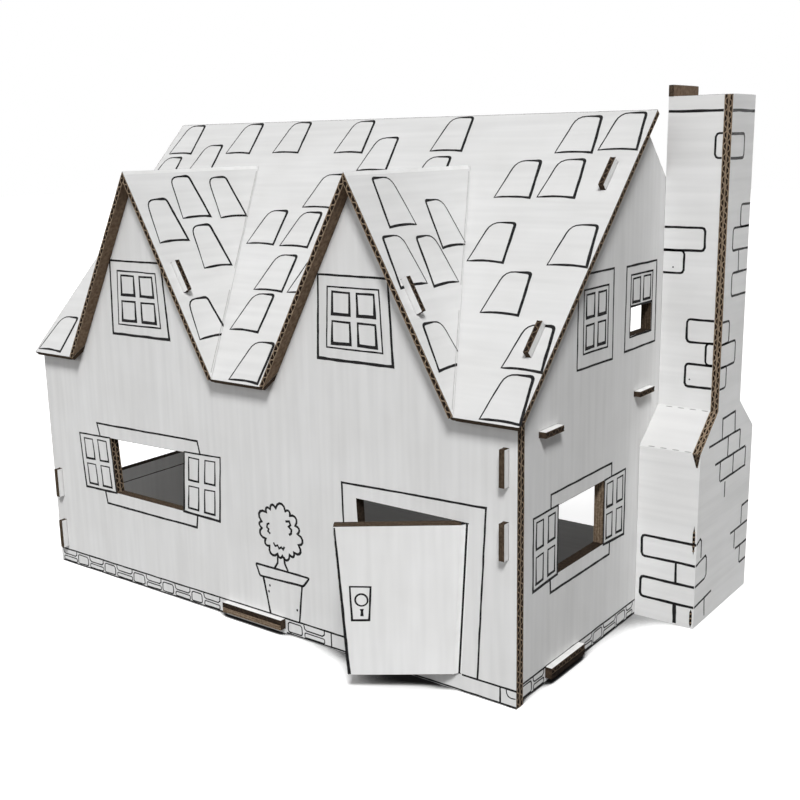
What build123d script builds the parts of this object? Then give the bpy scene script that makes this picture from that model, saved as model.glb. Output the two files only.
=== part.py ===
"""Slot-together cardboard playhouse with a door cut in its front wall and a chimney at its side."""
import math
import os

from build123d import *

os.makedirs("parts", exist_ok=True)

# Board
ply = 3.5               # one sheet of fluted board
wall = 2 * ply          # two sheets together: walls, ground floor, door and chimney
play = 0.3              # gap left where two pieces meet or one passes through another

# Tabs
tab_long = 22.0         # length of a wall tab along its edge
tab_proud = 4.4         # how far each tab stands out of its slot

# House plan, with depths counted back from the outer face of the front wall
house_width = 420.0
house_depth = 280.0
gable_inset = 2.2       # the gables' outer faces lie this far inside the ends of the front wall

# Main roof, a flat sheet on the front slope
roof_pitch = 45.5
eave_out = 8.0          # the eave hangs this far in front of the front wall
eave_height = 170.5     # height of the upper edge of the eave
ridge_depth = 155.4     # depth of the roof's upper edge
roof_overhang = 2.4     # beyond the front wall at each end
roof_slide = 3.0        # the sheet sits this far to the right of centre

# Dormer roofs
dormer_pitch = 60.9
dormer_apex = 304.5     # height of the folded ridge
dormer_spacing = 192.3
dormer_slide = 2.5      # the pair sits this far to the right of centre
dormer_tab_height = 234.5    # of the wall's tab through each right-hand slope

# Gables
apex_set = 2.0          # the peak lies this far in front of the roof's upper edge
back_pitch = 45.0       # bare slope at the back
right_wall_tabs = (101.5, 144.4)    # heights of the tabs through the front wall
left_wall_tabs = (24.8, 66.5)
right_roof_tabs = (31.2, 117.5)     # depths of the tabs through the roof
left_roof_tabs = (72.0, 102.0)
right_window = ((50.8, 110.9), (66.4, 109.4))    # depths, then heights, of each opening
left_window = ((45.0, 145.0), (61.5, 109.0))
sash_opening = ((141.6, 172.3), (197.0, 215.5))

# Front window: corners across and up, from the bottom left one round to the top left one
front_window = ((-136.1, 69.1), (-63.4, 68.7), (-59.4, 112.7), (-139.2, 111.1))

# Doorway: a cut that leans in towards its foot
door_sill = 11.1
door_head = 107.0
door_left = (99.3, 94.6)      # left edge at sill and head
door_right = (171.7, 177.9)   # hinge side at sill and head

# Door
door_opened = 34.3      # how far it stands open, in degrees
door_gap = 0.6          # above and below the door
latch_gap = 1.0         # at the free edge
hinge_gap = 0.9         # between the wall and the crease that the door turns on
crease = wall + 0.6     # width of the crushed crease
liner = 0.5             # paper that carries on across the crease

# Ground floor
floor_height = 3.6      # underside
floor_depth = 279.0
floor_front_tab = (-24.7, 30.0)
floor_side_tab = (37.5, 79.4)

# Attic floor
attic_height = 156.0    # underside
attic_depth = 180.0
attic_tabs = ((27.0, 48.0), (150.0, 171.5))

# Chimney
chimney_out = 42.4      # how far it reaches out from the gable
chimney_centre = 207.5
chimney_base = 94.5     # width at the ground
chimney_stack = 39.2    # width of the stack
shoulder_low = 120.5
shoulder_high = 143.5
stack_top = 345.5
back_panel_rise = 7.0   # the sheet against the house is taller than the rest

# Reaches of cutting shapes beyond the board
past = 2.0
far_off = 600.0


def behind(depth):
    """Y of a depth behind the front wall's outer face."""
    return depth - wall / 2


def block(across, depths, heights):
    """A box from three (low, high) pairs."""
    x = (across[0] + across[1]) / 2
    y = behind((depths[0] + depths[1]) / 2)
    z = (heights[0] + heights[1]) / 2
    size = (across[1] - across[0], depths[1] - depths[0], heights[1] - heights[0])
    return Pos(x, y, z) * Box(*size)


def front_plate(points, near, far):
    """An outline drawn across and up, between two depths."""
    outline = Polyline(*[(x, behind(near), z) for x, z in points], close=True)
    return extrude(make_face(outline), amount=far - near, dir=(0, 1, 0))


def side_plate(points, left, right):
    """An outline drawn in depth and height, between two places across."""
    outline = Polyline(*[(left, behind(d), z) for d, z in points], close=True)
    return extrude(make_face(outline), amount=right - left, dir=(1, 0, 0))


def grown(pair, by):
    return (pair[0] - by, pair[1] + by)


def tab_outline(spot, along, length, low, high):
    """A rectangle centred on a spot of a sloping surface and square to it, from low to high."""
    out = (-along[1], along[0])
    corners = ((-length / 2, low), (length / 2, low), (length / 2, high), (-length / 2, high))
    return [(spot[0] + s * along[0] + n * out[0], spot[1] + s * along[1] + n * out[1])
            for s, n in corners]


# Slopes
pitch = math.radians(roof_pitch)
slope = math.radians(dormer_pitch)
roof_drop = ply / math.cos(pitch)         # upright thickness of the sloping sheets
dormer_drop = ply / math.cos(slope)
roof_play = play / math.cos(pitch)        # play square to a slope, measured upright
dormer_play = play / math.cos(slope)


def roof_top(depth):
    """Height of the main roof's upper face."""
    return eave_height + (depth + eave_out) * math.tan(pitch)


def dormer_triangle(centre, apex, foot):
    """The upright triangle between a dormer's slopes."""
    half = (apex - foot) / math.tan(slope)
    return [(centre - half, foot), (centre + half, foot), (centre, apex)]


def dormer_tab(centre, extra, low, high):
    """Outline of the wall's tab, or with extra length its slot, on the right slope of a dormer."""
    run = (dormer_apex - dormer_tab_height) / math.tan(slope)
    spot = (centre + run, dormer_tab_height)
    along = (math.cos(slope), -math.sin(slope))
    return tab_outline(spot, along, tab_long + 2 * extra, low, high)


def roof_tab(depth, extra, low, high):
    """Outline of a gable's tab, or with extra length its slot, on the main roof."""
    along = (math.cos(pitch), math.sin(pitch))
    return tab_outline((depth, roof_top(depth)), along, tab_long + 2 * extra, low, high)


# Places shared between the pieces
half_width = house_width / 2
gable_out = half_width - gable_inset
gable_in = gable_out - wall
sides = (-1, 1)
wall_tabs = {-1: left_wall_tabs, 1: right_wall_tabs}
roof_tabs = {-1: left_roof_tabs, 1: right_roof_tabs}
dormer_centres = [dormer_slide + side * dormer_spacing / 2 for side in sides]
dormer_inner_apex = dormer_apex - dormer_drop
floor_band = (floor_height, floor_height + wall)
attic_band = (attic_height, attic_height + ply)


def inner_ply(side):
    """Places across of the gable sheet that carries the tabs."""
    return tuple(sorted((side * gable_in, side * (gable_in + ply))))


def along_wall(height):
    return (height - tab_long / 2, height + tab_long / 2)


def door_edge(edge, height):
    """Place across of a leaning side of the doorway."""
    share = (height - door_sill) / (door_head - door_sill)
    return edge[0] + share * (edge[1] - edge[0])


# Front wall with two pointed dormer fronts
wall_top = roof_top(0) - roof_drop - roof_play
dormer_fronts = [dormer_triangle(c, dormer_inner_apex - dormer_play, wall_top) for c in dormer_centres]
left_foot, right_foot, peak = 0, 1, 2
outline = [(-half_width, 0), (half_width, 0), (half_width, wall_top)]
for front in reversed(dormer_fronts):
    outline += [front[right_foot], front[peak], front[left_foot]]
outline += [(-half_width, wall_top)]
front_wall = front_plate(outline, 0, wall)
front_wall -= front_plate(front_window, -past, wall + past)
doorway = [(door_left[0], door_sill), (door_right[0], door_sill),
           (door_right[1], door_head), (door_left[1], door_head)]
front_wall -= front_plate(doorway, -past, wall + past)
for centre in dormer_centres:
    front_wall += front_plate(dormer_tab(centre, 0, -ply - 2 * play, tab_proud), 0, ply)
for side in sides:
    for height in wall_tabs[side]:
        slot = (grown(inner_ply(side), play), (-past, wall + past), grown(along_wall(height), play))
        front_wall -= block(*slot)
front_wall -= block(grown(floor_front_tab, play), (-past, wall + past), grown(floor_band, play))

# Door, made shut and then turned about the crease on the wall's inner face
door_low = door_sill + door_gap
door_high = door_head - door_gap


def door_piece(right_gap, left_edge, near):
    """Board between a place across and the hinge side, from a depth to the wall's inner face."""
    corners = [(left_edge(door_low), door_low), (door_edge(door_right, door_low) - right_gap, door_low),
               (door_edge(door_right, door_high) - right_gap, door_high), (left_edge(door_high), door_high)]
    return front_plate(corners, near, wall)


hinge_foot = Vector(door_edge(door_right, door_low) - hinge_gap, behind(wall), door_low)
hinge_head = Vector(door_edge(door_right, door_high) - hinge_gap, behind(wall), door_high)
hinge = Axis(hinge_foot, hinge_head - hinge_foot)
panel = door_piece(hinge_gap + crease, lambda z: door_edge(door_left, z) + latch_gap, 0)
strip = door_piece(hinge_gap, lambda z: door_edge(door_right, z) - hinge_gap - crease - past, wall - liner)
door = (panel + strip).rotate(hinge, door_opened)

# Gables, with their tabs on the inner sheet
gable_front = wall + play
apex_depth = ridge_depth - apex_set
apex_height = roof_top(apex_depth) - roof_drop - roof_play
back_height = apex_height - (house_depth - apex_depth) * math.tan(math.radians(back_pitch))
gable_outline = [(gable_front, 0), (house_depth, 0), (house_depth, back_height),
                 (apex_depth, apex_height), (gable_front, roof_top(gable_front) - roof_drop - roof_play)]
openings = {-1: (left_window,), 1: (right_window, sash_opening)}
gables = {}
for side in sides:
    faces = sorted((side * gable_in, side * gable_out))
    gable = side_plate(gable_outline, *faces)
    for height in wall_tabs[side]:
        gable += block(inner_ply(side), (-tab_proud, gable_front + past), along_wall(height))
    for depth in roof_tabs[side]:
        gable += side_plate(roof_tab(depth, 0, -ply - 2 * play, tab_proud), *inner_ply(side))
    cut = grown(faces, past)
    for depths, heights in openings[side]:
        gable -= block(cut, depths, heights)
    gable -= block(cut, grown(floor_side_tab, play), grown(floor_band, play))
    for depths in attic_tabs:
        gable -= block(cut, grown(depths, play), grown(attic_band, play))
    gables[side] = gable

# Ground floor and attic floor, with their tabs
between = (play - gable_in, gable_in - play)
through = (-gable_out - tab_proud, gable_out + tab_proud)
floor_panel = block(between, (gable_front, floor_depth), floor_band)
floor_panel += block(floor_front_tab, (-tab_proud, gable_front + past), floor_band)
floor_panel += block(through, floor_side_tab, floor_band)
attic_floor = block(between, (gable_front, attic_depth), attic_band)
for depths in attic_tabs:
    attic_floor += block(through, depths, attic_band)

# Main roof, notched under the dormers and slotted for the gables' tabs
lean = (ply * math.sin(pitch), -ply * math.cos(pitch))    # from the upper face to the lower one
eave = (-eave_out, eave_height)
ridge = (ridge_depth, roof_top(ridge_depth))
sheet = [eave, ridge, (ridge[0] + lean[0], ridge[1] + lean[1]), (eave[0] + lean[0], eave[1] + lean[1])]
roof_end = half_width + roof_overhang
main_roof = side_plate(sheet, roof_slide - roof_end, roof_slide + roof_end)
for centre in dormer_centres:
    notch = dormer_triangle(centre, dormer_inner_apex, 0)
    main_roof -= front_plate(notch, -far_off, far_off)
for side in sides:
    for depth in roof_tabs[side]:
        slot = roof_tab(depth, play, -ply - past, past)
        main_roof -= side_plate(slot, *grown(inner_ply(side), play))

# Dormer roofs, each folded along its ridge and trimmed to lie on the main roof
under_roof = [(-far_off, 0), (far_off, 0),
              (far_off, roof_top(far_off) + roof_play), (-far_off, roof_top(-far_off) + roof_play)]
dormer_roofs = []
for centre in dormer_centres:
    dormer = front_plate(dormer_triangle(centre, dormer_apex, 0), -eave_out, ridge_depth)
    dormer -= front_plate(dormer_triangle(centre, dormer_inner_apex, -past), -far_off, far_off)
    slot = dormer_tab(centre, play, -ply - past, past)
    dormer -= front_plate(slot, -play, ply + play)
    dormer -= side_plate(under_roof, -far_off, far_off)
    dormer_roofs.append(dormer)

# Chimney: a folded, hollow shaft with shoulders, open at the top and foot
chimney_left = gable_out + play
chimney_right = chimney_left + chimney_out


def chimney_outline(inset, low, high):
    """Outline of the shaft, moved inwards by a board thickness for its hollow."""
    base = chimney_base / 2 - inset
    stack = chimney_stack / 2 - inset
    lean_run = (chimney_base - chimney_stack) / 2
    lean_rise = shoulder_high - shoulder_low
    drop = inset * (math.hypot(lean_run, lean_rise) - lean_rise) / lean_run
    right = [(base, low), (base, shoulder_low - drop), (stack, shoulder_high - drop), (stack, high)]
    left = [(-d, z) for d, z in reversed(right)]
    return [(chimney_centre + d, z) for d, z in right + left]


chimney = side_plate(chimney_outline(0, 0, stack_top), chimney_left, chimney_right)
back_panel = chimney_outline(0, 0, stack_top + back_panel_rise)
chimney += side_plate(back_panel, chimney_left, chimney_left + ply)
hollow = chimney_outline(wall, -past, far_off)
chimney -= side_plate(hollow, chimney_left + wall, chimney_right - wall)

nodes = {
    "floor_panel": floor_panel,
    "attic_floor": attic_floor,
    "front_wall": front_wall,
    "door": door,
    "left_gable": gables[-1],
    "right_gable": gables[1],
    "main_roof": main_roof,
    "dormer_roof_left": dormer_roofs[0],
    "dormer_roof_right": dormer_roofs[1],
    "chimney": chimney,
}
for name, solid in nodes.items():
    export_step(solid, f"parts/{name}.step")
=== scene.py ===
"""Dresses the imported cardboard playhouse: fluted edges, pen-line print, paper liners, light and camera."""
import math

import bpy
from mathutils import Matrix, Vector, noise


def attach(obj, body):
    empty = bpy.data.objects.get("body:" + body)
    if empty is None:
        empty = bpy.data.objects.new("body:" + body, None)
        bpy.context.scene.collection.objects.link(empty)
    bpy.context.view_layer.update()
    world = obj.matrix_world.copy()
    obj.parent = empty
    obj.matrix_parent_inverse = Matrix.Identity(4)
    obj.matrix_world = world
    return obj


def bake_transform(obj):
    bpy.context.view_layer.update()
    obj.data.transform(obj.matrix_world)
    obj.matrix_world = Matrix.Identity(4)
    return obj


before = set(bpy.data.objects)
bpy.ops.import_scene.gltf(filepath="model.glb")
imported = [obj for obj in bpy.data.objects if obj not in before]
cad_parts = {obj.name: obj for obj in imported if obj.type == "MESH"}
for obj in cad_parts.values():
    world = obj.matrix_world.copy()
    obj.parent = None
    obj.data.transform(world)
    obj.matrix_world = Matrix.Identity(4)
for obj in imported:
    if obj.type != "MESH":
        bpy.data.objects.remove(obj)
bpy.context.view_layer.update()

MM = 0.001

# Sizes shared with the solids, in millimetres
PLY = 3.5
WALL = 2 * PLY
FRONT = -WALL / 2            # Y of the front wall's outer face
HALF = 210.0
GABLE_OUT = 207.8
GABLE_IN = GABLE_OUT - WALL
TAB_OUT = 4.4
TAB_HALF = 11.0
PITCH = math.radians(45.5)
SLOPE = math.radians(60.9)
EAVE_OUT = 8.0
EAVE_Z = 170.5
ROOF_RUN = 163.4
ROOF_UP = ROOF_RUN / math.cos(PITCH)
ROOF_LEFT = -209.4
ROOF_RIGHT = 215.4
DORMERS = (-93.65, 98.65)
DORMER_TOP = 304.5
DORMER_REACH = 131.2         # length of a dormer's ridge
DORMER_DROP = 152.0          # length of its slopes at the front
DORMER_TAB_Z = 234.5
WALL_TOP = 173.22
DOOR_LEFT = (99.3, 94.6)
DOOR_RIGHT = (171.7, 177.9)
DOOR_SILL = 11.1
DOOR_HEAD = 107.0
DOOR_OPEN = math.radians(34.3)
DOOR_GAP = 0.6               # above and below the door
LATCH_GAP = 1.0
HINGE_GAP = 0.9
CREASE = WALL + 0.6
CH_LEFT = 208.1
CH_RIGHT = 250.5
CH_MID = 207.5
CH_BASE = 47.25
CH_STACK = 19.6
CH_LOW = 120.5
CH_HIGH = 143.5
CH_TOP = 345.5
CH_LIP = 7.0                 # the sheet by the gable stands this far above the rim
APEX_D, APEX_Z = 153.4, 329.32
BACK_D = 280.0
BACK_Z = APEX_Z - (BACK_D - APEX_D)
FLOOR_Z, FLOOR_BACK = 3.6, 279.0
ATTIC_Z, ATTIC_BACK = 156.0, 180.0
PLAY = 0.3                   # between a floor and a gable
FRONT_TAB = (-24.7, 30.0)    # across
SIDE_TAB = (37.5, 79.4)      # in depth
ATTIC_TABS = ((27.0, 48.0), (150.0, 171.5))
RIGHT_WINDOW = (50.8, 110.9, 66.4, 109.4)      # near, far, low and high side
LEFT_WINDOW = (45.0, 145.0, 61.5, 109.0)
SASH = (141.6, 172.3, 197.0, 215.5)


def edge_at(edge, z):
    """Place across of a leaning side of the doorway."""
    return edge[0] + (z - DOOR_SILL) / (DOOR_HEAD - DOOR_SILL) * (edge[1] - edge[0])


def wander(x, seed):
    """Smooth, repeatable waver between about -1 and 1."""
    return noise.noise(Vector((x, 7.13 * seed, 3.7)))


# Materials


def shader(name, rough):
    """A new matt material with its tree and shader node."""
    mat = bpy.data.materials.new(name)
    mat.use_nodes = True
    tree = mat.node_tree
    bsdf = tree.nodes["Principled BSDF"]
    bsdf.inputs["Roughness"].default_value = rough
    bsdf.inputs["Specular IOR Level"].default_value = 0.08
    return mat, tree, bsdf


def link(tree, a, b):
    tree.links.new(a, b)


def math_node(tree, kind, a, b=None):
    node = tree.nodes.new("ShaderNodeMath")
    node.operation = kind
    for socket, value in zip(node.inputs, (a, b)):
        if value is None:
            continue
        if isinstance(value, (int, float)):
            socket.default_value = value
        else:
            link(tree, value, socket)
    return node.outputs[0]


def dot_with(tree, vector, axis):
    node = tree.nodes.new("ShaderNodeVectorMath")
    node.operation = "DOT_PRODUCT"
    link(tree, vector, node.inputs[0])
    node.inputs[1].default_value = axis
    return node.outputs["Value"]


def split(tree, vector):
    """Sockets X, Y and Z of a vector."""
    node = tree.nodes.new("ShaderNodeSeparateXYZ")
    link(tree, vector, node.inputs[0])
    return node.outputs


def range_node(tree, value, start, end, low=0.0, high=1.0, kind="LINEAR"):
    """Goes from low to high while a value goes from start to end."""
    node = tree.nodes.new("ShaderNodeMapRange")
    node.interpolation_type = kind
    for name, number in zip(("From Min", "From Max", "To Min", "To Max"), (start, end, low, high)):
        node.inputs[name].default_value = number
    link(tree, value, node.inputs["Value"])
    return node.outputs["Result"]


def noise_node(tree, coords, scale, detail=3.0, stretch=(1, 1, 1)):
    mapping = tree.nodes.new("ShaderNodeMapping")
    mapping.inputs["Scale"].default_value = stretch
    link(tree, coords, mapping.inputs["Vector"])
    node = tree.nodes.new("ShaderNodeTexNoise")
    node.inputs["Scale"].default_value = scale
    node.inputs["Detail"].default_value = detail
    link(tree, mapping.outputs[0], node.inputs["Vector"])
    return node.outputs["Fac"]


def ramp(tree, fac, low, high, start=0.35, end=0.65):
    node = tree.nodes.new("ShaderNodeValToRGB")
    node.color_ramp.elements[0].position = start
    node.color_ramp.elements[1].position = end
    node.color_ramp.elements[0].color = (*low, 1)
    node.color_ramp.elements[1].color = (*high, 1)
    link(tree, fac, node.inputs["Fac"])
    return node.outputs["Color"]


def mix(tree, fac, a, b):
    node = tree.nodes.new("ShaderNodeMix")
    node.data_type = "RGBA"
    link(tree, fac, node.inputs["Factor"])
    link(tree, a, node.inputs["A"])
    link(tree, b, node.inputs["B"])
    return node.outputs["Result"]


def times(tree, colour, factor):
    node = tree.nodes.new("ShaderNodeMix")
    node.data_type = "RGBA"
    node.blend_type = "MULTIPLY"
    node.inputs["Factor"].default_value = 1.0
    link(tree, colour, node.inputs["A"])
    link(tree, factor, node.inputs["B"])
    return node.outputs["Result"]


def white_paper(tree, coords, tone, along):
    """White liner: cloudy tone and faint ribs where the flutes show through."""
    low = tuple(0.955 * tone * c for c in (1.0, 0.998, 0.99))
    high = tuple(tone * c for c in (1.0, 1.0, 0.997))
    cloud = ramp(tree, noise_node(tree, coords, 22), low, high)
    stretch = tuple(0.06 if a else 1.0 for a in along)
    rib = noise_node(tree, coords, 230, 1.0, stretch)
    rib_tone = ramp(tree, rib, (0.935, 0.935, 0.935), (1.0, 1.0, 1.0), 0.3, 0.7)
    return times(tree, cloud, rib_tone), rib


def brown_paper(tree, coords, dark=(0.16, 0.108, 0.07), pale=(0.26, 0.185, 0.125)):
    """Bare board with fine fibres."""
    return ramp(tree, noise_node(tree, coords, 420, 4.0), dark, pale)


FACE_ON = 0.9          # a face that looks this much along the board's own way isn't a cut edge


def board(name, tone, along, outward, inner_brown=False, inside=None, painted_shade=None):
    """Board that is white on its faces, brown on its cut edges and, if asked, brown inside."""
    mat, tree, bsdf = shader(name, 0.82)
    tex = tree.nodes.new("ShaderNodeTexCoord")
    coords = tex.outputs["Object"]
    white, rib = white_paper(tree, coords, tone, along)
    # Painted shade: the white is greyed where the given function says.
    if painted_shade:
        white = times(tree, white, painted_shade(tree, tex.outputs["Normal"]))
    kraft = brown_paper(tree, coords)
    edge = brown_paper(tree, coords, dark=(0.03, 0.02, 0.014), pale=(0.075, 0.051, 0.034))
    facing = outward(tree, tex.outputs["Normal"])
    outer = math_node(tree, "GREATER_THAN", facing, FACE_ON)
    inner = math_node(tree, "LESS_THAN", facing, -FACE_ON)
    colour = mix(tree, inner, edge, kraft if inner_brown else white)
    colour = mix(tree, outer, colour, white)
    if inside:
        colour = mix(tree, inside(tree, coords), colour, kraft)
    link(tree, colour, bsdf.inputs["Base Color"])
    bump = tree.nodes.new("ShaderNodeBump")
    bump.inputs["Strength"].default_value = 0.12
    bump.inputs["Distance"].default_value = 0.0004
    link(tree, rib, bump.inputs["Height"])
    link(tree, bump.outputs[0], bsdf.inputs["Normal"])
    return mat


def towards(axis):
    """How far a face looks along an axis."""
    return lambda tree, normal: dot_with(tree, normal, axis)


def both_ways(axis):
    """Like towards, for a board that is white on both faces."""
    return lambda tree, normal: math_node(tree, "ABSOLUTE", dot_with(tree, normal, axis))


def either_slope(tree, normal):
    """How far a face looks out of a dormer's two slopes."""
    parts = split(tree, normal)
    across = math_node(tree, "MULTIPLY", math_node(tree, "ABSOLUTE", parts["X"]), math.sin(SLOPE))
    signed = math_node(tree, "MULTIPLY", across, math_node(tree, "SIGN", parts["Z"]))
    return math_node(tree, "ADD", signed, math_node(tree, "MULTIPLY", parts["Z"], math.cos(SLOPE)))


def not_top(tree, normal):
    """Everything but the upward cut edges counts as a face."""
    flat = math_node(tree, "GREATER_THAN", split(tree, normal)["Z"], 0.95)
    return math_node(tree, "SUBTRACT", 1.0, flat)


def shoulder_painted_shade(tree, normal):
    """Painted shade: slanting faces, which face the light, are painted a shade greyer."""
    return range_node(tree, split(tree, normal)["Z"], 0.3, 0.6, 1.0, 0.8)


def in_flue(tree, coords):
    """Faces of the chimney's hollow and of the lip above it."""
    parts = split(tree, coords)
    half = range_node(tree, parts["Z"], CH_LOW * MM, CH_HIGH * MM, (CH_BASE - PLY) * MM,
                      (CH_STACK - PLY) * MM)
    off = math_node(tree, "ABSOLUTE", math_node(tree, "SUBTRACT", parts["Y"], (CH_MID + FRONT) * MM))
    within = math_node(tree, "LESS_THAN", off, half)
    left = math_node(tree, "GREATER_THAN", parts["X"], (CH_LEFT + PLY) * MM)
    right = math_node(tree, "LESS_THAN", parts["X"], (CH_RIGHT - PLY) * MM)
    hollow = math_node(tree, "MULTIPLY", within, math_node(tree, "MULTIPLY", left, right))
    on_lip = math_node(tree, "GREATER_THAN", parts["Z"], (CH_TOP + 0.1) * MM)
    return math_node(tree, "MAXIMUM", hollow, on_lip)


hinge_foot = Vector((edge_at(DOOR_RIGHT, DOOR_SILL) - HINGE_GAP, FRONT + WALL, DOOR_SILL))
hinge_head = Vector((edge_at(DOOR_RIGHT, DOOR_HEAD) - HINGE_GAP, FRONT + WALL, DOOR_HEAD))
door_turn = (Matrix.Translation(hinge_foot) @ Matrix.Rotation(DOOR_OPEN, 4, hinge_head - hinge_foot)
             @ Matrix.Translation(-hinge_foot))
door_facing = door_turn.to_3x3() @ Vector((0, -1, 0))

X_WAY, Y_WAY, Z_WAY, LEVEL = (1, 0, 0), (0, 1, 0), (0, 0, 1), (1, 1, 0)
roof_out = (0, -math.sin(PITCH), math.cos(PITCH))
# Painted light and shade: each board's white tone is set for how light falls on it, lower on the roof and the
# right gable, lowest on the floor panel inside, higher on the door, the left gable and the chimney.
finishes = {
    "front_wall": board("card_front", 0.81, Z_WAY, both_ways(Y_WAY)),
    "door": board("card_door", 0.89, Z_WAY, both_ways(tuple(door_facing))),
    "left_gable": board("card_left_gable", 0.88, Z_WAY, both_ways(X_WAY)),
    "right_gable": board("card_right_gable", 0.79, Z_WAY, both_ways(X_WAY)),
    "floor_panel": board("card_floor", 0.42, X_WAY, both_ways(Z_WAY)),
    "attic_floor": board("card_attic", 0.76, X_WAY, towards(Z_WAY), inner_brown=True),
    "main_roof": board("card_roof", 0.69, X_WAY, towards(roof_out), inner_brown=True),
    "dormer_roof_left": board("card_dormer_left", 0.80, Y_WAY, either_slope, inner_brown=True),
    "dormer_roof_right": board("card_dormer_right", 0.80, Y_WAY, either_slope, inner_brown=True),
    "chimney": board("card_chimney", 0.9, LEVEL, not_top, inside=in_flue, painted_shade=shoulder_painted_shade),
}
for node, mat in finishes.items():
    obj = bpy.data.objects[node]
    obj.data.materials.clear()
    obj.data.materials.append(mat)


def plain(name, dark, pale, rough, scale):
    """A material that is speckled between two colours."""
    mat, tree, bsdf = shader(name, rough)
    tex = tree.nodes.new("ShaderNodeTexCoord")
    speckle = noise_node(tree, tex.outputs["Object"], scale)
    link(tree, ramp(tree, speckle, dark, pale), bsdf.inputs["Base Color"])
    return mat


ink_mat = plain("pen_ink", (0.008, 0.008, 0.009), (0.022, 0.021, 0.021), 0.6, 500)
grey_mat = plain("score_line", (0.50, 0.50, 0.49), (0.60, 0.60, 0.59), 0.8, 300)
slot_mat = plain("score_cut", (0.26, 0.26, 0.255), (0.36, 0.36, 0.355), 0.85, 300)
cell_mat = plain("flute_shadow", (0.008, 0.005, 0.004), (0.025, 0.017, 0.012), 0.95, 700)
flute_mat = plain("flute_paper", (0.2, 0.145, 0.098), (0.33, 0.25, 0.175), 0.9, 800)
cut_mat = plain("cut_shadow", (0.02, 0.014, 0.01), (0.05, 0.035, 0.024), 0.95, 700)
fibre_mat = plain("cut_fibres", (0.06, 0.043, 0.029), (0.125, 0.09, 0.062), 0.9, 800)
liner_mat = plain("tab_liner", (0.74, 0.735, 0.725), (0.82, 0.815, 0.805), 0.85, 200)
# Painted highlight: the pale liner on the dormer ridges.
ridge_highlight_mat = plain("painted_ridge_highlight", (0.84, 0.84, 0.832), (0.9, 0.9, 0.895), 0.8, 90)
crease_mat = plain("creased_liner", (0.88, 0.88, 0.87), (0.93, 0.93, 0.925), 0.85, 120)


# Mesh pieces


class Piece:
    """Faces gathered in millimetres into one object that rides on a body."""

    def __init__(self, name, mats, body="house"):
        self.name, self.mats, self.body = name, mats, body
        self.verts, self.faces, self.kinds = [], [], []

    def face(self, points, kind=0):
        start = len(self.verts)
        self.verts += [Vector(p) for p in points]
        self.faces.append(range(start, start + len(points)))
        self.kinds.append(kind)

    def done(self):
        mesh = bpy.data.meshes.new(self.name)
        mesh.from_pydata([v * MM for v in self.verts], [], [tuple(f) for f in self.faces])
        for mat in self.mats:
            mesh.materials.append(mat)
        mesh.polygons.foreach_set("material_index", self.kinds)
        mesh.update()
        obj = bpy.data.objects.new(self.name, mesh)
        bpy.context.collection.objects.link(obj)
        if self.body:
            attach(obj, self.body)
        return obj


# Fluted cut edges: material numbers of the base and of the paper edges on it
# SHADED, DIM_FLUTES and DEEP_SHADOW are darker copies painted as shade, and PALE_FIBRES a paler copy painted
# as light, each picked for an edge by how light falls on it.
FLUTES, DIM_FLUTES, FIBRES, PALE_FIBRES, SHADED, DEEP_SHADOW = (0, 1), (0, 3), (2, 3), (3, 1), (2, 2), (0, 0)
SKIN = 0.05            # base of a strip above the solid
LIFT = 0.24            # paper edges above the solid
LINER = 0.5
FLUTE = 6.9            # from one flute to the next, each in this many steps
STEPS = 16
FLUTE_HALF = 0.36      # half the width of a waved sheet's edge, and of a fibre
FIBRE_HALF = 0.24


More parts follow.
